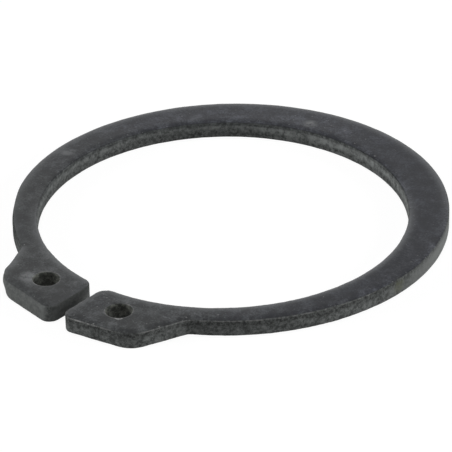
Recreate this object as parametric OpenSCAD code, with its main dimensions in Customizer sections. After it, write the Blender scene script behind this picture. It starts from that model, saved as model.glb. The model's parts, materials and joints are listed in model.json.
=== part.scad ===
// External retaining ring for a shaft, lying flat with its gap towards -Y.
// One plate of spring steel: an inner circle, an outer circle set off centre, so that the band tapers from
// the back towards the gap, and two lugs, each with a hole for the tip of a pair of ring pliers.
// Origin: the centre of the inner circle, on the lower face. The ring's axis is +Z.

/* [Ring] */
// Inner diameter of the free ring
inner_d = 36.5; // [36:0.1:37]
// Thickness of the plate
thickness = 1.75; // [1.6:0.05:2]
// Radial width of the band opposite the gap
back_width = 4.3; // [4:0.1:4.6]
// Radial width that the band tapers to at the gap
end_width = 2; // [1.8:0.1:2.2]

/* [Lugs] */
// Gap between the two lugs
gap = 1.4; // [1.2:0.1:2]
// Height of a lug, from the inner circle to its outer edge
lug_height = 5.85; // [5.6:0.05:6.1]
// Slope of a lug's outer edge, in degrees
edge_slope = 10.5; // [9:0.5:12]
// Reach of a lug, from the middle of the gap to its outer end before the corner is rounded
lug_reach = 8.3; // [8:0.1:8.6]
// Direction that a lug's flank faces, in degrees from -Y
flank_turn = 67.5; // [65:0.5:70]

/* [Plier holes] */
// Diameter of a hole
hole_d = 2.5; // [2.3:0.1:2.8]
// Distance between the centres of the two holes
hole_pitch = 9.3; // [9:0.1:9.6]
// Height of a hole's centre, from the inner circle
hole_height = 2.75; // [2.5:0.05:3]

/* [Corners] */
// Radius of a lug's corner between the inner circle and the gap
inner_corner_r = 1.05; // [0.8:0.05:1.3]
// Radius of a lug's corner between the gap and the outer edge
outer_corner_r = 0.95; // [0.7:0.05:1.2]
// Radius of a lug's corner between the outer edge and the flank
end_corner_r = 2.5; // [2.2:0.1:2.8]
// Radius of the neck between a lug's flank and the band
neck_r = 1.4; // [1.2:0.1:1.7]
// Radius of the tumbled edges of both faces
edge_r = 0.15; // [0.1:0.01:0.2]

/* [Hidden] */
$fn = 128;

// How far a cut reaches out of the plate
cut_over = 0.4;

// Angle at which a rounded edge or corner meets its faces, in degrees, so that they meet in a clean line
meet_angle = 10;

inner_r = inner_d / 2;
outer_r = inner_r + (back_width + end_width) / 2;
outer_c = [0, (back_width - end_width) / 2];

// The directions that the straight walls of the lug on the +X side face, and their distances from the origin
gap_n = [-1, 0];
gap_h = -gap / 2;
edge_n = facing(edge_slope);
edge_h = inner_r + lug_height;
flank_n = facing(flank_turn);
lug_tip = [lug_reach, (edge_n.x * lug_reach - edge_h) / cos(edge_slope)];
flank_h = flank_n * lug_tip;
flank_middle = outer_c + (flank_h - flank_n * outer_c) * flank_n;

// The centres of that lug's rounded corners, of its neck and of its hole
inner_corner_x = gap / 2 + set_in(inner_corner_r);
inner_corner_c = [inner_corner_x, -leg(apart(inner_r, inner_corner_r), inner_corner_x)];
outer_corner_c = crossing(gap_n, gap_h - set_in(outer_corner_r), edge_n, edge_h - set_in(outer_corner_r));
end_corner_c = crossing(edge_n, edge_h - set_in(end_corner_r), flank_n, flank_h - set_in(end_corner_r));
neck_off = flank_h + set_in(neck_r) - flank_n * outer_c;
neck_c = outer_c + neck_off * flank_n - leg(apart(outer_r, neck_r), neck_off) * along(flank_n);
hole_c = [hole_pitch / 2, -leg(inner_r + hole_height, hole_pitch / 2)];

// Unit vector at some degrees from -Y, turning towards +X
function facing(turn) = [sin(turn), -cos(turn)];

// Unit vector along the wall that faces n
function along(n) = [-n.y, n.x];

// Unit vector from a towards b
function towards(a, b) = (b - a) / norm(b - a);

// Third side of a right triangle
function leg(longest, other) = sqrt(longest * longest - other * other);

// Distance from a face to the centre of a rounding that meets it at meet_angle
function set_in(r) = r * cos(meet_angle);

// Distance between the centres of two circles that meet at meet_angle
function apart(r1, r2) = sqrt(r1 * r1 + r2 * r2 + 2 * r1 * r2 * cos(meet_angle));

// The point at distance h1 in direction n1 and at distance h2 in direction n2
function crossing(n1, h1, n2, h2) =
    [h1 * n2.y - h2 * n1.y, h2 * n1.x - h1 * n2.x] / (n1.x * n2.y - n1.y * n2.x);

// Direction of n as an angle
function bearing(n) = atan2(n.y, n.x);

// Angle from direction n1 round to direction n2
function sweep(n1, n2) = (bearing(n2) - bearing(n1) + 360) % 360;

// The lug on the +X side and its mirror image
module both_lugs() {
    children();
    mirror([1, 0, 0]) children();
}

// What is made on the upper face, made on the lower face too
module both_faces() {
    children();
    translate([0, 0, thickness]) mirror([0, 0, 1]) children();
}

// Kite from point c, with two sides of length l in directions n1 and n2 and square corners at their ends
module kite(c, n1, n2, l) {
    polygon([c, c + l * n1, c + l * (n1 + n2) / (1 + n1 * n2), c + l * n2]);
}

// Sharp corner outside the rounding of radius r about c, between the walls that face n1 and n2
module corner_waste(c, r, n1, n2) {
    difference() {
        kite(c, n1, n2, 2 * r);
        translate(c) circle(r);
    }
}

// A lug with sharp corners, carried on into the band
module lug_blank() {
    polygon([[0, -edge_h / cos(edge_slope)], lug_tip, flank_middle, outer_c]);
    kite(neck_c, towards(neck_c, outer_c), -flank_n, neck_r + cut_over);
}

// What is cut away from a lug: its three corners, its neck and its hole
module lug_waste() {
    corner_waste(inner_corner_c, inner_corner_r, towards(inner_corner_c, [0, 0]), gap_n);
    corner_waste(outer_corner_c, outer_corner_r, gap_n, edge_n);
    corner_waste(end_corner_c, end_corner_r, edge_n, flank_n);
    translate(neck_c) circle(neck_r);
    translate(hole_c) circle(d = hole_d);
}

// Outline of the plate
module outline() {
    difference() {
        union() {
            translate(outer_c) circle(outer_r);
            both_lugs() lug_blank();
        }
        circle(inner_r);
        translate([-gap / 2, -2 * outer_r]) square([gap, 2 * outer_r]);
        both_lugs() lug_waste();
    }
}

// Section of the waste over a rounded edge: the wall is at x = 0 and the face at y = 0
module edge_section() {
    translate(-set_in(edge_r) * [1, 1]) difference() {
        square(set_in(edge_r) + cut_over);
        circle(edge_r);
    }
}

// How far a straight cut runs on past the centre of a corner of radius r
function past(r) = 2 * r * sin(meet_angle);

// Edge waste along the wall at distance h in direction n, from the corner of radius r1 about c1 to that of
// radius r2 about c2, and on past both
module straight_edge(n, h, c1, r1, c2, r2) {
    from = c1 * along(n) - past(r1);
    to = c2 * along(n) + past(r2);
    translate(concat(h * n + (from + to) / 2 * along(n), thickness))
        rotate([90, 0, bearing(n)]) linear_extrude(to - from, center = true) edge_section();
}

// Edge waste round an outward corner of radius r about c, from direction n1 to direction n2
module corner_edge(c, r, n1, n2) {
    translate(concat(c, thickness))
        rotate(bearing(n1)) rotate_extrude(angle = sweep(n1, n2)) translate([r, 0]) edge_section();
}

// Edge waste round an opening of radius r about c
module opening_edge(c, r) {
    translate(concat(c, thickness))
        rotate_extrude() translate([r, 0]) mirror([1, 0]) edge_section();
}

// Edge waste along a lug's straight walls, which ends beside the centre of the neck
module lug_straight_edges() {
    straight_edge(gap_n, gap_h, inner_corner_c, inner_corner_r, outer_corner_c, outer_corner_r);
    straight_edge(edge_n, edge_h, outer_corner_c, outer_corner_r, end_corner_c, end_corner_r);
    straight_edge(flank_n, flank_h, end_corner_c, end_corner_r, neck_c, 0);
}

// Edge waste round a lug's corners, neck and hole
module lug_round_edges() {
    corner_edge(inner_corner_c, inner_corner_r, towards(inner_corner_c, [0, 0]), gap_n);
    corner_edge(outer_corner_c, outer_corner_r, gap_n, edge_n);
    corner_edge(end_corner_c, end_corner_r, edge_n, flank_n);
    opening_edge(neck_c, neck_r);
    opening_edge(hole_c, hole_d / 2);
}

// Edge waste round the band
module band_edges() {
    neck_n = towards(outer_c, neck_c);
    opening_edge([0, 0], inner_r);
    corner_edge(outer_c, outer_r, neck_n, [-neck_n.x, neck_n.y]);
}

module retaining_ring() {
    color("dimgray") difference() {
        linear_extrude(thickness) outline();
        both_faces() both_lugs() lug_straight_edges();
        both_faces() both_lugs() lug_round_edges();
        both_faces() band_edges();
    }
}

retaining_ring();
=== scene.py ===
# %% [markdown]
# # A retaining ring, modelled and lit
# The object is a retaining ring for a shaft: one flat C of spring steel, blanked from strip, tumbled and given a
# dark grey phosphate coat. Its CAD model arrives as a fixed frame. The lesson rebuilds the plate as a clean mesh
# of quads that can carry the small unevenness of the real ring, gives it a coat, and lights it like a small
# thing on a white table.

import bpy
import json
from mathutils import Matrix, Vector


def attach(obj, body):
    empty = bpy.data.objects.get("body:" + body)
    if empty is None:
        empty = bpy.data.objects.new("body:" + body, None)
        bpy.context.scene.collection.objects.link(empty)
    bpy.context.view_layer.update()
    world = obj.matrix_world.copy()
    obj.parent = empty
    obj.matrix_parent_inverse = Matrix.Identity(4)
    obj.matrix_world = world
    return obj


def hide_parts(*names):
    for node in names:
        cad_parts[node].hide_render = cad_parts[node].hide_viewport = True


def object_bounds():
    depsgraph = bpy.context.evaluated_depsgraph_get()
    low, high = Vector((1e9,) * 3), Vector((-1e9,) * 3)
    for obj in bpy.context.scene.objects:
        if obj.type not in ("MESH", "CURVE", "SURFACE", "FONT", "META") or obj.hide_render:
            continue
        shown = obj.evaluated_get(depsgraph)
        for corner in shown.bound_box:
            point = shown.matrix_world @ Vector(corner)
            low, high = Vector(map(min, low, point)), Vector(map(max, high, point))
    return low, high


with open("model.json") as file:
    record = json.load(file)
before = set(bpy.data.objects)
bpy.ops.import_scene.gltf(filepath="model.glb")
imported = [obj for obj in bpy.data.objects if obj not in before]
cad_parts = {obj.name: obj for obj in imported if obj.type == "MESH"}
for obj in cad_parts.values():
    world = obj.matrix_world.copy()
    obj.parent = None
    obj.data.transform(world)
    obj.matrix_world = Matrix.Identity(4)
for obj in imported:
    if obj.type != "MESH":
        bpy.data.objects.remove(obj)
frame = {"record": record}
cad_low, cad_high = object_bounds()
MM = 0.001
print("CAD box from", [round(v / MM, 3) for v in cad_low], "to", [round(v / MM, 3) for v in cad_high], "mm")

# %% [markdown]
# ## Sizes
# A ring like this is drawn with a compass and a ruler, so its sizes are radii, centres and the directions of a
# few straight walls. The main ones come from the frame: the shaft seat gives the inner circle, the plier holes
# give the holes, and the box gives the thickness and the outer circle. Everything is in millimetres while we
# model, because Blender's tools are at ease with numbers near one, and is brought to metres at the end.

# %% Read the main sizes from the frame
import math

import bmesh
import bpy
from mathutils import Quaternion, Vector

mounts = {mount["name"]: mount for mount in frame["record"]["mounts"]}
inner_r = mounts["shaft_seat"]["dims"]["r_mm"]
hole_r = mounts["plier_hole_right"]["dims"]["r_mm"]
hole_at = Vector(mounts["plier_hole_right"]["pos_m"]).to_2d() / MM
thickness = cad_high.z / MM
outer_r = cad_high.x / MM
outer_at = Vector((0, cad_high.y / MM - outer_r))
print(f"inner radius {inner_r:.2f}, outer radius {outer_r:.2f} about y {outer_at.y:.2f} mm")
print(f"hole radius {hole_r:.2f} about {hole_at.x:.2f}, {hole_at.y:.2f}, thickness {thickness:.2f} mm")

# %% Name the sizes of a lug
HALF_GAP = 0.7
LUG_HEIGHT = 5.85
LUG_REACH = 8.3
EDGE_FACES = math.radians(10.5)
FLANK_FACES = math.radians(67.5)
INNER_CORNER_R = 1.05
OUTER_CORNER_R = 0.95
END_CORNER_R = 2.5
NECK_R = 1.4


def facing(turn):
    """Unit vector that starts at -Y and turns towards +X."""
    return Vector((math.sin(turn), -math.cos(turn)))


def crossing(n1, h1, n2, h2):
    """The point at distance h1 in direction n1 and at distance h2 in direction n2."""
    return Vector((h1 * n2.y - h2 * n1.y, h2 * n1.x - h1 * n2.x)) / (n1.x * n2.y - n1.y * n2.x)


gap_n, edge_n, flank_n = Vector((-1, 0)), facing(EDGE_FACES), facing(FLANK_FACES)
edge_h = inner_r + LUG_HEIGHT
lug_tip = Vector((LUG_REACH, (edge_n.x * LUG_REACH - edge_h) / math.cos(EDGE_FACES)))
flank_h = flank_n.dot(lug_tip)
print(f"the lug's sharp tip would be at {lug_tip.x:.2f}, {lug_tip.y:.2f} mm")

# %% Find the centres of the rounded corners
corner_x = HALF_GAP + INNER_CORNER_R
inner_corner = Vector((corner_x, -math.sqrt((inner_r + INNER_CORNER_R) ** 2 - corner_x**2)))
outer_corner = crossing(gap_n, -HALF_GAP - OUTER_CORNER_R, edge_n, edge_h - OUTER_CORNER_R)
end_corner = crossing(edge_n, edge_h - END_CORNER_R, flank_n, flank_h - END_CORNER_R)
neck_off = flank_h + NECK_R - flank_n.dot(outer_at)
neck_down = math.sqrt((outer_r + NECK_R) ** 2 - neck_off**2)
neck = outer_at + neck_off * flank_n + neck_down * Vector((flank_n.y, -flank_n.x))
neck_end = outer_at + outer_r * (neck - outer_at).normalized()
print("corner centres:", *[f"{c.x:.2f},{c.y:.2f}" for c in (inner_corner, outer_corner, end_corner, neck)])

# %% [markdown]
# ## The camera
# The photograph was taken with a long lens, from well above the table. Its angles, distance and focal length
# come from fitting the ring's two circles and its lugs to the picture, so they are odd numbers. The small shift
# puts the ring's centre where the picture has it.

# %% Set up the camera
PICTURE = 452
FOCAL_PIXELS = 3740
SENSOR_MM = 36
CAMERA_AZIMUTH, CAMERA_ELEVATION, CAMERA_ROLL = (math.radians(a) for a in (41.02, 30.03, -1.137))
CAMERA_DISTANCE = 0.3674
CENTRE_PIXEL = Vector((223.29, 225.93))
CLIP_START, CLIP_END = 0.01, 10

towards_camera = Vector((math.sin(CAMERA_AZIMUTH) * math.cos(CAMERA_ELEVATION),
                         -math.cos(CAMERA_AZIMUTH) * math.cos(CAMERA_ELEVATION),
                         math.sin(CAMERA_ELEVATION)))
bpy.ops.object.camera_add(location=towards_camera * CAMERA_DISTANCE)
camera = bpy.context.object
camera.name = "camera"
camera.rotation_mode = "QUATERNION"
camera.rotation_quaternion = towards_camera.to_track_quat("Z", "Y") @ Quaternion((0, 0, 1), CAMERA_ROLL)
camera.data.sensor_width = SENSOR_MM
camera.data.lens = FOCAL_PIXELS / PICTURE * SENSOR_MM
camera.data.shift_x = (PICTURE / 2 - CENTRE_PIXEL.x) / PICTURE
camera.data.shift_y = (CENTRE_PIXEL.y - PICTURE / 2) / PICTURE
camera.data.clip_start, camera.data.clip_end = CLIP_START, CLIP_END
bpy.context.scene.camera = camera
right = Vector((math.cos(CAMERA_AZIMUTH), math.sin(CAMERA_AZIMUTH)))
back = Vector((-right.y, right.x))
print(f"lens {camera.data.lens:.1f} mm, shift {camera.data.shift_x:.4f}, {camera.data.shift_y:.4f}")

# %% [markdown]
# ## Drawing the outline
# The real plate is cut out in one stroke by a punch whose outline is arcs and straight lines. We draw half of
# that outline the same way: one vertex is spun round each centre for an arc and extruded for each straight, so
# that every arc runs smoothly into the next line. The mirror makes the other half later. The plier hole comes
# first, a trace wider than drawn, since pliers wear it. Its circle has as many vertices as the lug's border will
# have, because then the two can be bridged with quads alone.

# %% Begin with the plier hole and one loose vertex
ARC_STEPS = 140
NECK_STEPS = 5
FLANK_STEPS = 11
ACROSS_STEPS = 10
LUG_STEPS = {"inner edge": 18, "inner corner": 6, "gap wall": 12, "outer corner": 6, "outer edge": 16,
             "end corner": 8}
border_steps = sum(LUG_STEPS.values()) + ACROSS_STEPS
BORE_WEAR = 0.05
bore_r = hole_r + BORE_WEAR

bpy.ops.object.select_all(action="DESELECT")
bpy.ops.mesh.primitive_circle_add(vertices=border_steps, radius=bore_r, location=(0, 0, 0))
ring = bpy.context.object
ring.name = ring.data.name = "ring_plate"
bpy.ops.object.mode_set(mode="EDIT")
bpy.ops.transform.translate(value=(*hole_at, 0))
bpy.ops.mesh.select_all(action="DESELECT")
bpy.ops.mesh.primitive_plane_add(size=1, location=(0, inner_r, 0))
bpy.ops.mesh.merge(type="CENTER")
print(f"the hole has {border_steps} vertices")


# %% Draw half of the outline
TURN = 2 * math.pi
LUG_STARTS = math.radians(-66)


def bearing(v):
    return math.atan2(v.y, v.x)


def spin_to(centre, start, end, steps):
    """Carries the selected vertex round a centre, from one bearing to another. Spin counts clockwise."""
    bpy.ops.mesh.spin(steps=steps, angle=start - end, center=(*centre, 0), axis=(0, 0, 1))


def draw_to(start, end, steps):
    """Carries the selected vertex along a straight wall, in equal steps."""
    step = (end - start) / steps
    for _ in range(steps):
        bpy.ops.mesh.extrude_region_move(TRANSFORM_OT_translate={"value": (*step, 0)})


origin = Vector((0, 0))
edge_bearing, flank_bearing = bearing(edge_n), bearing(flank_n)
spin_to(origin, TURN / 4, bearing(neck_end), ARC_STEPS)
spin_to(origin, bearing(neck_end), LUG_STARTS, NECK_STEPS + FLANK_STEPS)
spin_to(origin, LUG_STARTS, bearing(inner_corner), LUG_STEPS["inner edge"])
spin_to(inner_corner, bearing(-inner_corner), TURN / 2, LUG_STEPS["inner corner"])
draw_to(Vector((HALF_GAP, inner_corner.y)), Vector((HALF_GAP, outer_corner.y)), LUG_STEPS["gap wall"])
spin_to(outer_corner, -TURN / 2, edge_bearing, LUG_STEPS["outer corner"])
draw_to(outer_corner + OUTER_CORNER_R * edge_n, end_corner + END_CORNER_R * edge_n, LUG_STEPS["outer edge"])
spin_to(end_corner, edge_bearing, flank_bearing, LUG_STEPS["end corner"])
draw_to(end_corner + END_CORNER_R * flank_n, neck - NECK_R * flank_n, FLANK_STEPS)
spin_to(neck, bearing(-flank_n), bearing(outer_at - neck), NECK_STEPS)
spin_to(outer_at, bearing(neck - outer_at), TURN / 4, ARC_STEPS)
mesh = bmesh.from_edit_mesh(ring.data)
last = next(v.co for v in mesh.verts if v.select)
print(f"the outline ends at {last.x:.4f}, {last.y:.4f} mm, {len(mesh.edges)} edges so far")

# %% [markdown]
# ## Filling the plate
# The band is bridged across from the back as far as a line beside the plier hole, and the rest of the lug is
# bridged from its border to its hole. Loops of quads then run along the band and round the hole, which is what
# bevels and subdivision like best. A single many-sided face would fill the plate too, but nothing could ever
# move inside it.

# %% Bridge the band and the lug
NEAR = 0.01
LUG_LOOPS = 8
lug_start = inner_r * Vector((math.cos(LUG_STARTS), math.sin(LUG_STARTS)))
across = end_corner + END_CORNER_R * flank_n - lug_start
band_side = Vector((-across.y, across.x)).normalized()


def select_edges(wanted):
    """Selects the edges of the ring that the test accepts, given an edge and its middle."""
    bpy.ops.mesh.select_mode(type="EDGE")
    bpy.ops.mesh.select_all(action="DESELECT")
    edit = bmesh.from_edit_mesh(ring.data)
    for edge in edit.edges:
        edge.select_set(wanted(edge, (edge.verts[0].co + edge.verts[1].co) / 2))
    bmesh.update_edit_mesh(ring.data)
    return sum(edge.select for edge in edit.edges)


def beside_band(edge, middle):
    return (middle.to_2d() - lug_start).dot(band_side) > NEAR


def round_lug(edge, middle):
    return len(edge.link_faces) < 2 and not beside_band(edge, middle)


print("edges beside the band:", select_edges(beside_band))
bpy.ops.mesh.bridge_edge_loops(number_cuts=ACROSS_STEPS - 1, interpolation="LINEAR")
print("edges round the lug and its hole:", select_edges(round_lug))
bpy.ops.mesh.bridge_edge_loops(number_cuts=LUG_LOOPS - 1, interpolation="LINEAR")

# %% Mirror the half
DOUBLES = 0.001
bpy.ops.object.mode_set(mode="OBJECT")
mirror = ring.modifiers.new("other half", "MIRROR")
mirror.merge_threshold = NEAR
bpy.ops.object.modifier_apply(modifier=mirror.name)
bpy.ops.object.mode_set(mode="EDIT")
bpy.ops.mesh.select_all(action="SELECT")
bpy.ops.mesh.remove_doubles(threshold=DOUBLES)
bpy.ops.mesh.normals_make_consistent(inside=False)
print("faces in the sheet:", len(bmesh.from_edit_mesh(ring.data).faces))

# %% [markdown]
# ## Thickness and tumbled edges
# The sheet is raised to the thickness of the strip in a few steps, so that the walls have rows of quads of their
# own. Blanked rings come off the press with sharp edges and are tumbled with stones until the edges are
# round: a bevel on every square edge does that, and one level of subdivision makes the rounding smooth.

# %% Raise the sheet into a plate
WALL_ROWS = 6
for _ in range(WALL_ROWS):
    bpy.ops.mesh.extrude_region_move(TRANSFORM_OT_translate={"value": (0, 0, thickness / WALL_ROWS)})
bpy.ops.mesh.select_all(action="SELECT")
bpy.ops.mesh.normals_make_consistent(inside=False)
print("faces in the raised sheet:", len(bmesh.from_edit_mesh(ring.data).faces))

# %% Round the edges
EDGE_R = 0.1
ROUND_PROFILE = 0.5
EDGE_SEGMENTS = 3
SQUARE = math.radians(60)


def square_edge(edge, middle):
    return edge.is_manifold and edge.calc_face_angle() > SQUARE


print("square edges:", select_edges(square_edge))
bpy.ops.mesh.bevel(offset=EDGE_R, segments=EDGE_SEGMENTS, profile=ROUND_PROFILE, affect="EDGES",
                   clamp_overlap=False)
bpy.ops.object.mode_set(mode="OBJECT")
smooth = ring.modifiers.new("smooth edges", "SUBSURF")
smooth.levels = smooth.render_levels = 1
bpy.ops.object.modifier_apply(modifier=smooth.name)
print("faces in the plate:", len(ring.data.polygons))

# %% [markdown]
# ## Knowing where we are
# A punched and tumbled part looks different at every place: on a face, on a wall, in a hole, beside an edge. A
# modeller would paint such places with a brush. We find them in code: a point's height and normal say what it is
# on, and a tree of all wall points says how far off the nearest edge is and which way that edge faces.

# %% Tell the walls apart
from mathutils import kdtree, noise

ON_WALL = 0.5
WALL_TILT = (0.5, 0.9)
EDGE_TILT, EDGE_TILT_END = (0.1, 0.4), (0.92, 0.995)


def ease(start, end, value):
    """0 at start, 1 at end, and a soft step between."""
    t = min(max((value - start) / (end - start), 0), 1)
    return t * t * (3 - 2 * t)


def from_hole(place):
    """How far a point is outside a plier hole."""
    return (Vector((abs(place.x), place.y)) - hole_at).length - bore_r


def in_hole(place):
    return from_hole(place) < EDGE_R


def in_opening(place):
    """Whether a point lies on the wall of the inner circle or of a plier hole."""
    return place.length < inner_r + EDGE_R or in_hole(place)


def rise(p):
    """Height of a point as a share of the thickness."""
    return p.co.z / thickness


points = ring.data.vertices
wall_points = [p for p in points if abs(p.normal.z) < ON_WALL and not in_hole(p.co.to_2d())]
wall_places = [(p.co.to_2d(), p.normal.to_2d().normalized()) for p in wall_points]
walls = kdtree.KDTree(len(wall_places))
for index, (spot, _) in enumerate(wall_places):
    walls.insert(spot.to_3d(), index)
walls.balance()
print("points on the walls of the outline and of the inner circle:", len(wall_places))


# %% Keep a mark on every point
def keep(name, share):
    """Keeps a share of every point as a vertex group, for modifiers, and as an attribute, for the coat."""
    shares = [share(p) for p in points]
    group = ring.vertex_groups.new(name=name)
    for index, value in enumerate(shares):
        group.add([index], value, "REPLACE")
    ring.data.attributes.new(name + "_share", "FLOAT", "POINT").data.foreach_set("value", shares)
    print(f"{name}: {sum(shares) / len(shares):.1%} of all points")


def on_wall(p):
    return 1 - ease(*WALL_TILT, abs(p.normal.z))


def walled(p):
    """How much of a point is on a wall, other than a hole's."""
    return 0 if in_hole(p.co.to_2d()) else on_wall(p)


def bored(p):
    """How much of a point is on a hole's wall."""
    return on_wall(p) if in_hole(p.co.to_2d()) else 0


def tumbled(p):
    """How much of a point is on a rounded edge."""
    return ease(*EDGE_TILT, abs(p.normal.z)) * (1 - ease(*EDGE_TILT_END, abs(p.normal.z)))


keep("walled", walled)
keep("bored", bored)
keep("tumbled", tumbled)

# %% [markdown]
# ## Roll
# Where the punch enters, it drags the face down before it cuts, so the upper face bends over the edge in a soft
# roll. On this ring it is slight at the back, clearer at the front, and deepest on the left, where the wall's top
# leans in too and no edge is left to see. A bevel has one width everywhere, so the roll gets a mark of its own.

# %% Find the left side and the nearest wall
HALF = 0.5
LEFT_EDGE_X, LEFT_EDGE_Y = (-0.8, -2), (-21.3, -22.2)
LEFT_BAND_X, LEFT_BAND_Y = (-10, -13), (-8, -12)
FACES_BACK = (-0.35, 0.25)


def on_left_edge(place):
    """How much of a point is on the left lug's outer edge."""
    return ease(*LEFT_EDGE_X, place.x) * ease(*LEFT_EDGE_Y, place.y)


def on_left_band(place):
    """How much of a point is on the band beside the left lug."""
    return ease(*LEFT_BAND_X, place.x) * ease(*LEFT_BAND_Y, place.y)


def nearest_wall(p):
    """The nearest point of a wall, how far off it is, and how much it faces the back."""
    _, index, distance = walls.find(p.co.to_2d().to_3d())
    spot, faces = wall_places[index]
    return spot, distance, ease(*FACES_BACK, faces.dot(back))


print("points on the left lug's outer edge:", sum(on_left_edge(p.co) > HALF for p in points))

# %% Mark the roll
ROLL_WIDTH, SOFT_WIDTH = 0.75, 1.3
LIGHT_ROLL, FRONT_ROLL, LEFT_ROLL = 0.2, 0.36, 0.5
ROLL_HIGH = (0.5, 1)
FRONT_X, FRONT_END_X, FRONT_Y = (-0.5, 0.5), (26, 12), (12, 2)
INNER_BACK_Y = (-5, 5)


def rolled(p):
    """How far the upper face bends down to the nearest wall."""
    wall, distance, _ = nearest_wall(p)
    if in_opening(wall):
        front, soft = ease(*INNER_BACK_Y, wall.y), 0
    else:
        front = ease(*FRONT_Y, wall.y) * ease(*FRONT_X, wall.x) * ease(*FRONT_END_X, wall.x)
        soft = LEFT_ROLL * max(on_left_edge(wall), on_left_band(wall))
    deep = LIGHT_ROLL + (FRONT_ROLL - LIGHT_ROLL) * front + (1 - LIGHT_ROLL) * soft
    width = ROLL_WIDTH + (SOFT_WIDTH - ROLL_WIDTH) * soft
    return deep * ease(*ROLL_HIGH, rise(p)) * max(1 - distance / width, 0) ** 2


def softened(p):
    """How far the top of a wall leans in, with the face beside it, on the left lug and the band next to it."""
    wall, distance, _ = nearest_wall(p)
    leans = 0 if in_opening(wall) else max(on_left_band(wall), on_left_edge(wall))
    return leans * ease(*ROLL_HIGH, rise(p)) ** 2 * max(1 - distance / SOFT_WIDTH, 0) ** 2


keep("rolled", rolled)
keep("softened", softened)

# %% [markdown]
# ## Sheared and torn walls
# A punched wall is never one smooth surface: the first part shears clean, and the rest tears off rough. The
# outline is cut from the upper face and the inner circle from the lower one, so the torn part lies low on the
# outer walls and high on the inner wall, and its border waves along. The gap's two walls are even and clean.
# Rubbing has left the outer wall on the right smooth; it and the left lug's outer edge are also painted paler, as
# painted light from the side. Real relief is right here, since all of it catches the light.

# %% Mark the smoothed and painted-lit, clean and torn walls
RIGHT_WALL_X, RIGHT_WALL_Y, RIGHT_WALL_HIGH = (8, 16), (-3, 8), (1.2, 0.5)
LEFT_EDGE_RUB_AND_LIGHT = 0.45
GAP_WALL_X = (HALF_GAP + 4 * EDGE_R, HALF_GAP + EDGE_R)
TORN_SHARE, TORN_FADE = 0.6, 0.16
INNER_LEFT_X, INNER_LEFT_LESS = (-6, -12), 0.12
TORN_WAVE, TORN_WAVE_PER_MM = 0.3, 0.45


def rubbed_and_lit(p):
    """How smooth rubbing has left the outer wall on the right and the left lug's outer edge, where a paler colour
    is also painted as light from the side.
    """
    right_wall = ease(*RIGHT_WALL_X, p.co.x) * ease(*RIGHT_WALL_Y, p.co.y)
    share = max(right_wall * ease(*RIGHT_WALL_HIGH, rise(p)), LEFT_EDGE_RUB_AND_LIGHT * on_left_edge(p.co))
    return 0 if in_opening(p.co.to_2d()) else walled(p) * share


def gapped(p):
    """How much of a point is on one of the walls of the gap."""
    return walled(p) * ease(*GAP_WALL_X, abs(p.co.x)) if p.co.y < 0 else 0


def torn(p):
    """How much of a point is in the torn part of a wall."""
    if in_opening(p.co.to_2d()):
        from_tear = thickness - p.co.z
        share = TORN_SHARE - INNER_LEFT_LESS * ease(*INNER_LEFT_X, p.co.x)
    else:
        from_tear = p.co.z
        share = TORN_SHARE + on_left_edge(p.co)
    reach = thickness * share + TORN_WAVE * noise.noise(p.co.to_2d().to_3d() * TORN_WAVE_PER_MM)
    clean = max(rubbed_and_lit(p), gapped(p))
    return walled(p) * (1 - clean) * ease(reach + TORN_FADE, reach - TORN_FADE, from_tear)


keep("rubbed_and_lit", rubbed_and_lit)
keep("gapped", gapped)
keep("torn", torn)

# %% [markdown]
# ## Full walls and a slanting end
# The walls of the real ring stand out a little past the drawn outline, most on the left lug. The end of that lug
# is slanting: its top stands out and its foot is set back. Two more marks hold that, so that the drawn outline
# stays a plain one of arcs and straight lines.

# %% Mark how full the walls are
LEFT_LUG_X, LEFT_FLANK_X, LEFT_LUG_Y = (0, -2), (-8.6, -8), (-15, -17)


def full(p):
    """How far a wall stands out: half everywhere, and wholly on the left lug, but for its flank."""
    left_lug = ease(*LEFT_LUG_X, p.co.x) * ease(*LEFT_FLANK_X, p.co.x) * ease(*LEFT_LUG_Y, p.co.y)
    return walled(p) * (1 + left_lug) / 2


keep("full", full)

# %% Mark the left lug's end
LEFT_END_AT, LEFT_END_REACH = Vector((-8.4, -22.4)), (2.4, 0.8)
TAPER_HIGH = (0.95, 0)


def ended(p):
    """How near a point is to the rounded end of the left lug, whose top stands out."""
    wall, distance, _ = nearest_wall(p)
    return ease(*LEFT_END_REACH, (wall - LEFT_END_AT).length) * max(1 - distance / SOFT_WIDTH, 0) ** 2


def tapered(p):
    """How far the foot of that end is set back."""
    return ended(p) * ease(*TAPER_HIGH, rise(p))


keep("ended", ended)
keep("tapered", tapered)

# %% [markdown]
# ## Wear and painted light
# Tumbling and handling wear the coat. Beside the edges at the back of the outline, at the front of the inner
# circle, by the gap and on the left, the colour is painted paler: a painted sheen for the grazing reflection and
# side light that the rolled edges would catch. Along the right lug and the front of the band, a fine pale line
# just under the edge is partly bared steel and partly a painted highlight; the rims of the holes get a painted
# ring of highlight, and one spot on the right hole's rim a painted glint. A few pale scuffs lie on the face.
# These marks move nothing: the coat reads them later.

# %% Mark the painted sheen beside edges
# Painted sheen: how far from the edge and how high the paler colour reaches, and its share by the gap and on the
# left.
SHEEN_WIDTH, SHEEN_HIGH = 1.3, (0.7, 1)
GAP_SHEEN, LEFT_EDGE_SHEEN, LEFT_BAND_SHEEN = 0.35, 0.3, 0.6


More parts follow.
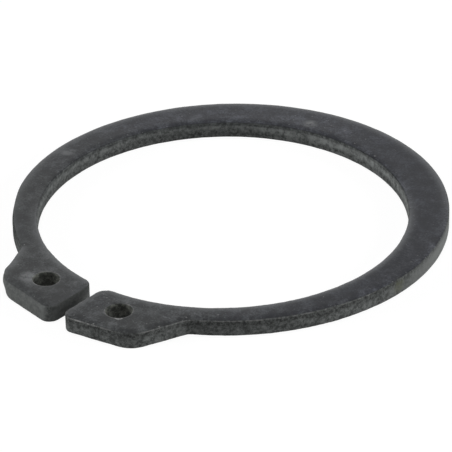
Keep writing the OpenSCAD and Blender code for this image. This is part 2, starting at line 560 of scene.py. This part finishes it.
def painted_sheen(p):
    """How much painted sheen lies beside an edge: the grazing reflection and light that a rolled edge would catch.
    """
    wall, distance, share = nearest_wall(p)
    if wall.y < 0 and abs(wall.x) < GAP_WALL_X[0]:
        share = GAP_SHEEN
    if not in_opening(wall):
        share = max(share, LEFT_EDGE_SHEEN * on_left_edge(wall), LEFT_BAND_SHEEN * on_left_band(wall))
    return share * max(1 - distance / SHEEN_WIDTH, 0) ** 2 * ease(*SHEEN_HIGH, rise(p))


keep("painted_sheen", painted_sheen)

# %% Mark the bared and highlit line, and the painted highlights on the rims of the holes
LINE_X, LINE_Y, LINE_HIGH = (-0.5, 0.5), (3, -4), (0.86, 0.91)
LINE_LUG_X, LINE_LUG, LINE_BAND, LINE_ON_ROUNDING = (5.5, 3), 0.83, 0.66, 0.6
RIM_WIDTH, RIM_HIGHLIGHT = 0.4, 0.75
PAINTED_GLINT_AT, PAINTED_GLINT_REACH = Vector((5.47, -21.42)), (0.6, 0.3)


def worn_and_lit(p):
    """How far rubbing has bared an edge and how much highlight is painted on it: most on the right lug, less along
    the band, a painted ring and glint on the rims.
    """
    place, off_rim = p.co.to_2d(), from_hole(p.co)
    if off_rim < RIM_WIDTH:
        glint = ease(*PAINTED_GLINT_REACH, (place - PAINTED_GLINT_AT).length)
        return (1 - bored(p)) * max(RIM_HIGHLIGHT * ease(RIM_WIDTH, 0, off_rim), glint)
    share = ease(*LINE_X, place.x) * ease(*LINE_Y, place.y)
    share *= LINE_BAND + (LINE_LUG - LINE_BAND) * ease(*LINE_LUG_X, place.x)
    line = max(LINE_ON_ROUNDING * tumbled(p), walled(p) * ease(*LINE_HIGH, rise(p)))
    return 0 if in_opening(place) else share * line


keep("worn_and_lit", worn_and_lit)

# %% Mark the scuffs
# Each scuff has an x and a y, a reach and a share.
SCUFFS = {"beside the left hole": (-6.1, -21.2, 1.5, 1), "round the left hole": (-5, -20.6, 2.9, 0.3),
          "on the left band": (-19.9, -0.8, 1, 0.8), "on the back": (-4.6, 19.1, 1, 1)}
SCUFF_CORE = 0.2


def scuffed(p):
    """How much of a point is in one of the pale scuffs of the upper face."""
    near = [share * ease(reach, SCUFF_CORE * reach, (p.co.to_2d() - Vector((x, y))).length)
            for x, y, reach, share in SCUFFS.values()]
    return (1 - walled(p)) * max(near) * ease(*ROLL_HIGH, rise(p))


keep("scuffed", scuffed)

# %% [markdown]
# ## Painted shade, streaks and a stain
# Shade is painted into the coat as a darker colour: along the inner circle's edge where its wall faces the front,
# on the left wall and on the right half of the face. The left half of the face is a little darker too. A pale
# streak runs along the middle of the inner wall, where the shear stopped. A small olive stain sits on the right,
# and the coat's blue fades from the back towards the lugs.

# %% Mark the streak, the stain and the blue
STREAK_HIGH, STREAK_TOP, STREAK_FOOT = (0.3, 0.5), (0.87, 0.72), 0.42
STREAK_X, STREAK_LEFT = (-14, 0), 0.25
STAIN_AT, STAIN_REACH = Vector((21.4, 0.6, 0.95)), (1, 0.3)
BLUE_SIDE, BLUE_SPAN = Vector((0.35, 0.94)), (-26, 24)


def streaked(p):
    """How much of a point is in the pale streak along the inner wall, clearest at the back."""
    streak = STREAK_FOOT + (1 - STREAK_FOOT) * ease(*STREAK_HIGH, rise(p))
    along = STREAK_LEFT + (1 - STREAK_LEFT) * ease(*STREAK_X, p.co.x)
    return walled(p) * streak * ease(*STREAK_TOP, rise(p)) * along if in_opening(p.co.to_2d()) else 0


def stained(p):
    return ease(*STAIN_REACH, (p.co - STAIN_AT).length)


def blued(p):
    """How blue the coat is: grey on the lugs, bluest on the right at the back."""
    return ease(*BLUE_SPAN, BLUE_SIDE.dot(p.co.to_2d()))


keep("streaked", streaked)
keep("stained", stained)
keep("blued", blued)

# %% Mark the painted shade
INNER_EDGE_SHADE = 0.65
UNDER_EDGE_SHADE, UNDER_EDGE_HIGH, UNDER_EDGE_X = 0.45, (0.72, 0.85), (0, -8)
LEFT_WALL_SHADE, LEFT_WALL_X, LEFT_WALL_Y = 0.6, (-11, -14), (-5, -12)
RIGHT_FACE_SHADE, RIGHT_SIDE, RIGHT_SPAN = 0.58, Vector((0.87, 0.5)), (4, 16)
OFF_EDGE = (0, 1)
LEFT_FACE_DARKER, LEFT_FACE_X, LEFT_FACE_Y = 0.16, (2, -6), (-18, -15)
BESIDE_LUG_DARKER = 0.1


def painted_shade(p):
    """How much painted shade darkens the coat; it is also a little darker on the left lug's face and beside it."""
    _, distance, faces_back = nearest_wall(p)
    place = p.co.to_2d()
    if place.length < inner_r + 2 * EDGE_R:
        under_edge = walled(p) * ease(*UNDER_EDGE_HIGH, rise(p)) * ease(*UNDER_EDGE_X, place.x)
        return (1 - faces_back) * max(INNER_EDGE_SHADE * tumbled(p), UNDER_EDGE_SHADE * under_edge)
    left_wall = walled(p) * ease(*LEFT_WALL_X, place.x) * ease(*LEFT_WALL_Y, place.y)
    right_face = ease(*OFF_EDGE, distance) * ease(*RIGHT_SPAN, RIGHT_SIDE.dot(place))
    left_face = ease(*LEFT_FACE_X, place.x) * ease(*LEFT_FACE_Y, place.y)
    left_darker = LEFT_FACE_DARKER * left_face + BESIDE_LUG_DARKER * on_left_band(place)
    return max(LEFT_WALL_SHADE * left_wall, RIGHT_FACE_SHADE * right_face, left_darker)


keep("painted_shade", painted_shade)

# %% [markdown]
# ## Moving what is marked
# A Displace modifier moves points along their normals or along one axis, as far as a vertex group says, and a
# cloud texture makes the move uneven. The leaning tops and the left lug's end move level, along Y and along X:
# along their normals the small rounding would turn inside out. The moves are hundredths of a millimetre, but
# for a few tenths on the left lug, whose end the press has left slanting.

# %% Move the walls, the edges and the faces
ROLL_DEPTH, LEAN, FULLNESS = 0.3, 0.14, 0.08
END_OUT, END_TAPER = 0.12, 0.4
TORN_BACK, TORN_GRAIN, TORN_GRAIN_SIZE = 0.01, 0.035, 0.3
EDGE_WAVE, EDGE_WAVE_SIZE = 0.035, 1.1
FACE_WAVE, FACE_WAVE_SIZE = 0.03, 4
CLOUD_DEPTH = 2
CLOUD_MIDDLE = 0.5


def displace(name, strength, group="", cloud_size=None, level=0, direction="NORMAL"):
    """Moves the ring's points, by a cloud texture of that size or all alike. At the level nothing moves."""
    push = ring.modifiers.new(name, "DISPLACE")
    push.strength, push.mid_level, push.vertex_group, push.direction = strength, level, group, direction
    if cloud_size:
        push.texture = bpy.data.textures.new(name, "CLOUDS")
        push.texture.noise_scale = cloud_size
        push.texture.noise_depth = CLOUD_DEPTH
        push.texture_coords = "LOCAL"
    bpy.ops.object.modifier_apply(modifier=push.name)


displace("roll", -ROLL_DEPTH, "rolled", direction="Z")
displace("lean", LEAN, "softened", direction="Y")
displace("fullness", FULLNESS, "full")
displace("end_out", -END_OUT, "ended", direction="X")
displace("end_taper", END_TAPER, "tapered", direction="X")
displace("torn_back", -TORN_BACK, "torn")
displace("torn_grain", TORN_GRAIN, "torn", TORN_GRAIN_SIZE, CLOUD_MIDDLE)
displace("edge_wave", EDGE_WAVE, "tumbled", EDGE_WAVE_SIZE, CLOUD_MIDDLE)
displace("face_wave", FACE_WAVE, "", FACE_WAVE_SIZE)
print("height of the plate:", round(ring.dimensions.z, 3), "mm")

# %% Bring the plate to metres
bpy.ops.object.mode_set(mode="EDIT")
bpy.ops.mesh.select_all(action="SELECT")
bpy.ops.transform.resize(value=(MM, MM, MM), center_override=(0, 0, 0))
bpy.ops.object.mode_set(mode="OBJECT")
bpy.ops.object.shade_smooth()
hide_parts("retaining_ring")
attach(ring, "root")
print("size of the plate:", [round(d / MM, 3) for d in ring.dimensions], "mm")

# %% [markdown]
# ## The phosphate coat
# Phosphating grows a thin layer of dull crystals on the steel. It is dark, a little blue on the faces, and
# mottled at every scale, from patches of some millimetres down to a fine grain. Noise textures of different
# sizes give all this in Object coordinates, so they stay on the ring when it moves. The marks that we kept say
# where another noise takes over: on the torn walls, in the holes, along the edges that are bared and highlit.
# Some marks paint light and shade into the colour: a sheen and highlights by the edges, paler walls on the
# left and right and at the gap's foot, and shade on the right of the face and round the inner circle.

# %% Start the coat
coat = bpy.data.materials.new("phosphate_coat")
coat.use_nodes = True
nodes, wires = coat.node_tree.nodes, coat.node_tree.links
shader = nodes["Principled BSDF"]
object_place = nodes.new("ShaderNodeTexCoord").outputs["Object"]


def plug(value, socket):
    """Sets a socket to a number or colour, or wires another socket to it."""
    if isinstance(value, bpy.types.NodeSocket):
        wires.new(value, socket)
    else:
        socket.default_value = value


def cloud(size_mm, detail=3, rough=0.55):
    """Noise whose features are about so many millimetres across."""
    node = nodes.new("ShaderNodeTexNoise")
    node.inputs["Scale"].default_value = 1 / (size_mm * MM)
    node.inputs["Detail"].default_value = detail
    node.inputs["Roughness"].default_value = rough
    wires.new(object_place, node.inputs["Vector"])
    return node.outputs["Fac"]


print("the coat starts with", len(nodes), "nodes")


# %% Helpers that map and mix
def step(value, low, high, to_low=0.0, to_high=1.0):
    """Maps a range of a value softly to another range."""
    node = nodes.new("ShaderNodeMapRange")
    node.interpolation_type = "SMOOTHSTEP"
    for socket, number in zip(node.inputs, (value, low, high, to_low, to_high)):
        plug(number, socket)
    return node.outputs["Result"]


def maths(operation, first, second):
    node = nodes.new("ShaderNodeMath")
    node.operation = operation
    plug(first, node.inputs[0])
    plug(second, node.inputs[1])
    return node.outputs["Value"]


def add(first, second):
    return maths("ADD", first, second)


def times(first, second):
    return maths("MULTIPLY", first, second)


def blend(share, first, second):
    """Mixes two colours."""
    node = nodes.new("ShaderNodeMix")
    node.data_type = "RGBA"
    plug(share, node.inputs["Factor"])
    plug(first, node.inputs["A"])
    plug(second, node.inputs["B"])
    return node.outputs["Result"]


def mark(name):
    """One of the ring's own attributes."""
    node = nodes.new("ShaderNodeAttribute")
    node.attribute_name = name + "_share"
    return node.outputs["Fac"]


# %% The faces: grey and blue, mottled and scuffed, with a painted sheen by the edges
GREY_DARK, GREY_PALE = (0.0318, 0.0333, 0.034, 1), (0.12, 0.1256, 0.1284, 1)
BLUE_DARK, BLUE_PALE = (0.0305, 0.0317, 0.0364, 1), (0.115, 0.1203, 0.137, 1)
SCUFF_AND_SHEEN, SPECK = (0.16, 0.1655, 0.17, 1), (0.25, 0.25, 0.25, 1)
# Each cloud has a size in millimetres and, where it needs its own, a detail and a roughness.
MOTTLE_CLOUD, MOTTLE_SPAN = (2, 6, 0.88), (0.55, 0.91)
GRAIN_CLOUD, GRAIN_SHARE = (0.2,), 0.3
HUE_CLOUD, HUE_SPAN = (6,), (0.5, 1.3)
PATCH_CLOUD, PATCH_SPAN, PATCH_SHARE = (3.5, 6, 0.65), (0.6, 0.75), 0.2
SCUFF_CLOUD, SCUFF_SPAN = (0.8, 4, 0.7), (0.3, 0.58)
SPECK_CLOUD, SPECK_SPAN, SPECK_SHARE = (0.35, 2), (0.67, 0.76), 0.7
SHEEN_SHARE = 0.62

mottle, grain = cloud(*MOTTLE_CLOUD), cloud(*GRAIN_CLOUD)
tone = step(add(mottle, times(grain, GRAIN_SHARE)), *MOTTLE_SPAN)
hue = step(add(mark("blued"), cloud(*HUE_CLOUD)), *HUE_SPAN)
colour = blend(hue, blend(tone, GREY_DARK, GREY_PALE), blend(tone, BLUE_DARK, BLUE_PALE))
colour = blend(times(step(cloud(*PATCH_CLOUD), *PATCH_SPAN), PATCH_SHARE), colour, SCUFF_AND_SHEEN)
colour = blend(times(mark("scuffed"), step(cloud(*SCUFF_CLOUD), *SCUFF_SPAN)), colour, SCUFF_AND_SHEEN)
# Painted sheen: beside the edges the colour is painted paler, in place of a grazing reflection.
colour = blend(times(mark("painted_sheen"), SHEEN_SHARE), colour, SCUFF_AND_SHEEN)
colour = blend(times(step(cloud(*SPECK_CLOUD), *SPECK_SPAN), SPECK_SHARE), colour, SPECK)
print("the faces take", len(nodes), "nodes")

# %% The walls: sheared, torn, streaked, and smooth with painted light
SHEARED_DARK, SHEARED_PALE = (0.03, 0.0316, 0.031, 1), (0.108, 0.1135, 0.111, 1)
TORN_DARK, TORN_PALE = (0.043, 0.0455, 0.0445, 1), (0.158, 0.1665, 0.163, 1)
STREAK, RUBBED_LIT_WALL = (0.215, 0.226, 0.223, 1), (0.165, 0.172, 0.168, 1)
SHEARED_CLOUD, SHEARED_SPAN = (0.3, 4, 0.8), (0.38, 0.64)
TORN_CLOUD, TORN_SPAN = (0.5, 5, 0.8), (0.36, 0.66)
STREAK_CLOUD, STREAK_SPAN = (0.7, 5, 0.75), (0.36, 0.64)
RUBBED_LIT_SHARE = 0.75

sheared = blend(step(cloud(*SHEARED_CLOUD), *SHEARED_SPAN), SHEARED_DARK, SHEARED_PALE)
colour = blend(mark("walled"), colour, sheared)
tear = cloud(*TORN_CLOUD)
colour = blend(mark("torn"), colour, blend(step(tear, *TORN_SPAN), TORN_DARK, TORN_PALE))
colour = blend(times(mark("streaked"), step(cloud(*STREAK_CLOUD), *STREAK_SPAN)), colour, STREAK)
# Painted light: the outer wall on the right and the left lug's outer edge are painted paler, as if lit from the
# side.
colour = blend(times(mark("rubbed_and_lit"), RUBBED_LIT_SHARE), colour, RUBBED_LIT_WALL)
print("with the walls", len(nodes), "nodes")

# %% The gap, the holes and the stain
GAP_FOOT, GAP_TOP = (0.15, 0.1565, 0.153, 1), (0.055, 0.0575, 0.056, 1)
GAP_HIGH, GAP_SHARE = (0.3, 0.85), 0.7
BORE_DARK, BORE_PALE = (0.053, 0.056, 0.0505, 1), (0.207, 0.2155, 0.1935, 1)
BORE_CLOUD, BORE_SPAN = (0.6, 4, 0.7), (0.4, 0.7)
STAIN, STAIN_SHARE = (0.085, 0.088, 0.052, 1), (0.15, 0.7)

split = nodes.new("ShaderNodeSeparateXYZ")
wires.new(object_place, split.inputs["Vector"])
height = times(split.outputs["Z"], 1 / (thickness * MM))
# Painted light: the gap's walls are painted paler at the foot and darker at the top, to even out the shade that
# falls into the gap.
gap_painted_light = blend(step(height, *GAP_HIGH), GAP_FOOT, GAP_TOP)
colour = blend(times(mark("gapped"), GAP_SHARE), colour, gap_painted_light)
bore_colour = blend(step(cloud(*BORE_CLOUD), *BORE_SPAN), BORE_DARK, BORE_PALE)
colour = blend(mark("bored"), colour, bore_colour)
colour = blend(times(mark("stained"), step(tear, *TORN_SPAN, *STAIN_SHARE)), colour, STAIN)
print("with the gap and the holes", len(nodes), "nodes")

# %% The painted shade, and the bared and highlit edges
SHADE_COLOUR, SHADE_COLOUR_SHARE = (0.0105, 0.0117, 0.0145, 1), 0.8
BARE_STEEL_AND_HIGHLIGHT, WORN_AND_LIT_SPAN, WORN_AND_LIT_SHARE = (0.4, 0.4, 0.395, 1), (0.45, 1), 0.8
WORN_AND_LIT_CLOUD, WORN_AND_LIT_CLOUD_SPAN = (0.7, 5, 0.8), (0.38, 0.62)

# Painted shade: the coat is painted darker round the inner circle's edge, on the left wall and on the right of the
# face.
colour = blend(times(mark("painted_shade"), SHADE_COLOUR_SHARE), colour, SHADE_COLOUR)
# Bared steel and painted highlight: the line under the edge, the rims of the holes and the glint are painted pale.
bare_and_lit = times(step(mark("worn_and_lit"), *WORN_AND_LIT_SPAN), step(cloud(*WORN_AND_LIT_CLOUD), *WORN_AND_LIT_CLOUD_SPAN))
colour = blend(times(bare_and_lit, WORN_AND_LIT_SHARE), colour, BARE_STEEL_AND_HIGHLIGHT)
wires.new(colour, shader.inputs["Base Color"])
print("with the oil and the bared edges", len(nodes), "nodes")

# %% [markdown]
# The crystals scatter light, so the coat is dull, and duller on the torn walls. Its gloss is weak: without any,
# the ring would look like paper, and with the usual amount its face would turn pale in the light from behind.
# A shallow bump adds the grain that is too fine for the mesh.

# %% Dullness and grain
FACE_DULL, MOTTLE_RANGE, WALL_DULLER = (0.42, 0.54), (0.3, 0.7), 0.4
GLOSS = 0.05
GRAIN_STRENGTH, GRAIN_DEPTH, GRAIN_MIX = 0.6, 0.03, 0.5

dullness = add(step(mottle, *MOTTLE_RANGE, *FACE_DULL), times(mark("walled"), WALL_DULLER))
wires.new(dullness, shader.inputs["Roughness"])
shader.inputs["Specular IOR Level"].default_value = GLOSS
relief = nodes.new("ShaderNodeBump")
relief.inputs["Strength"].default_value = GRAIN_STRENGTH
relief.inputs["Distance"].default_value = GRAIN_DEPTH * MM
wires.new(add(mottle, times(grain, GRAIN_MIX)), relief.inputs["Height"])
wires.new(relief.outputs["Normal"], shader.inputs["Normal"])
ring.data.materials.append(coat)
print("the coat has", len(nodes), "nodes")

# %% [markdown]
# ## White table and soft light
# The photograph is a small thing on white: the table vanishes and the light comes from all round. The table is a
# white plane that the camera sees as white light with a little of its own shading mixed in, so the ring keeps a
# faint shadow. The world is white for the camera and for reflections, and sheds only a little light.

# %% Tell what is seen from what is lit
def seen(tree):
    """1 for what the camera sees, straight, in a reflection or through glass, and 0 for shed light."""
    path = tree.nodes.new("ShaderNodeLightPath")
    total = path.outputs["Is Camera Ray"]
    for ray in ("Is Glossy Ray", "Is Transmission Ray"):
        node = tree.nodes.new("ShaderNodeMath")
        node.operation = "MAXIMUM"
        tree.links.new(total, node.inputs[0])
        tree.links.new(path.outputs[ray], node.inputs[1])
        total = node.outputs["Value"]
    return total


# %% White table
TABLE_WIDTH = 3
SHEDS, SHOWS_SHADE, SHOWS_WHITE = (0.8, 0.8, 0.8, 1), (0.15, 0.15, 0.15, 1), 0.9

bpy.ops.object.select_all(action="DESELECT")
bpy.ops.mesh.primitive_plane_add(size=TABLE_WIDTH, location=(0, 0, 0))
table = bpy.context.object
table.name = "white_table"
paper = bpy.data.materials.new("white_paper")
paper.use_nodes = True
tree = paper.node_tree
tree.nodes.remove(tree.nodes["Principled BSDF"])
sheds, shaded = tree.nodes.new("ShaderNodeBsdfDiffuse"), tree.nodes.new("ShaderNodeBsdfDiffuse")
sheds.inputs["Color"].default_value = SHEDS
shaded.inputs["Color"].default_value = SHOWS_SHADE
white = tree.nodes.new("ShaderNodeEmission")
white.inputs["Strength"].default_value = SHOWS_WHITE
both, choice = tree.nodes.new("ShaderNodeAddShader"), tree.nodes.new("ShaderNodeMixShader")
tree.links.new(white.outputs["Emission"], both.inputs[0])
tree.links.new(shaded.outputs["BSDF"], both.inputs[1])
tree.links.new(seen(tree), choice.inputs["Fac"])
tree.links.new(sheds.outputs["BSDF"], choice.inputs[1])
tree.links.new(both.outputs["Shader"], choice.inputs[2])
tree.links.new(choice.outputs["Shader"], tree.nodes["Material Output"].inputs["Surface"])
table.data.materials.append(paper)
print("the table is", TABLE_WIDTH, "m wide, and its paper has", len(tree.nodes), "nodes")

# %% White room
ROOM_SHEDS = 0.05
WHITE = (1, 1, 1, 1)

room = bpy.data.worlds.new("white_room")
bpy.context.scene.world = room
room.use_nodes = True
air = room.node_tree
background = air.nodes["Background"]
background.inputs["Color"].default_value = WHITE
level = air.nodes.new("ShaderNodeMapRange")
level.inputs["To Min"].default_value = ROOM_SHEDS
air.links.new(seen(air), level.inputs["Value"])
air.links.new(level.outputs["Result"], background.inputs["Strength"])
print("the room sheds", ROOM_SHEDS, "of its white")

# %% [markdown]
# Five soft boxes stand round the ring. One hangs over it, and two strong ones stand low on the left and on the
# right, because the photograph's walls are as bright as its faces. A weak one behind skims over the face, and
# one at the front right keeps the near walls from going black.

# %% Soft boxes
SOFT_BOX_WIDTH = 0.3
OVER, AROUND, LOW = 0.6, 0.5, 0.12
up = Vector((0, 0, 1))
front_right = (right - back).normalized()
SOFT_BOXES = {"over": (OVER * up, 1.4), "right": (AROUND * right.to_3d() + LOW * up, 1.9),
              "left": (-AROUND * right.to_3d() + LOW * up, 1.9), "back": (AROUND * back.to_3d() + LOW * up, 0.5),
              "front_right": (AROUND * front_right.to_3d() + LOW * up, 0.6)}
for name, (spot, watts) in SOFT_BOXES.items():
    bpy.ops.object.light_add(type="AREA", location=spot)
    soft_box = bpy.context.object
    soft_box.name = "soft_box_" + name
    soft_box.data.size = SOFT_BOX_WIDTH
    soft_box.data.energy = watts
    soft_box.rotation_euler = spot.to_track_quat("Z", "Y").to_euler()
print("soft boxes:", len(SOFT_BOXES))

# %% [markdown]
# ## Finish
# The view transform is Standard, so that a colour shows as it is written.

# %% Set the view transform
import json

bpy.context.scene.view_settings.view_transform = "Standard"
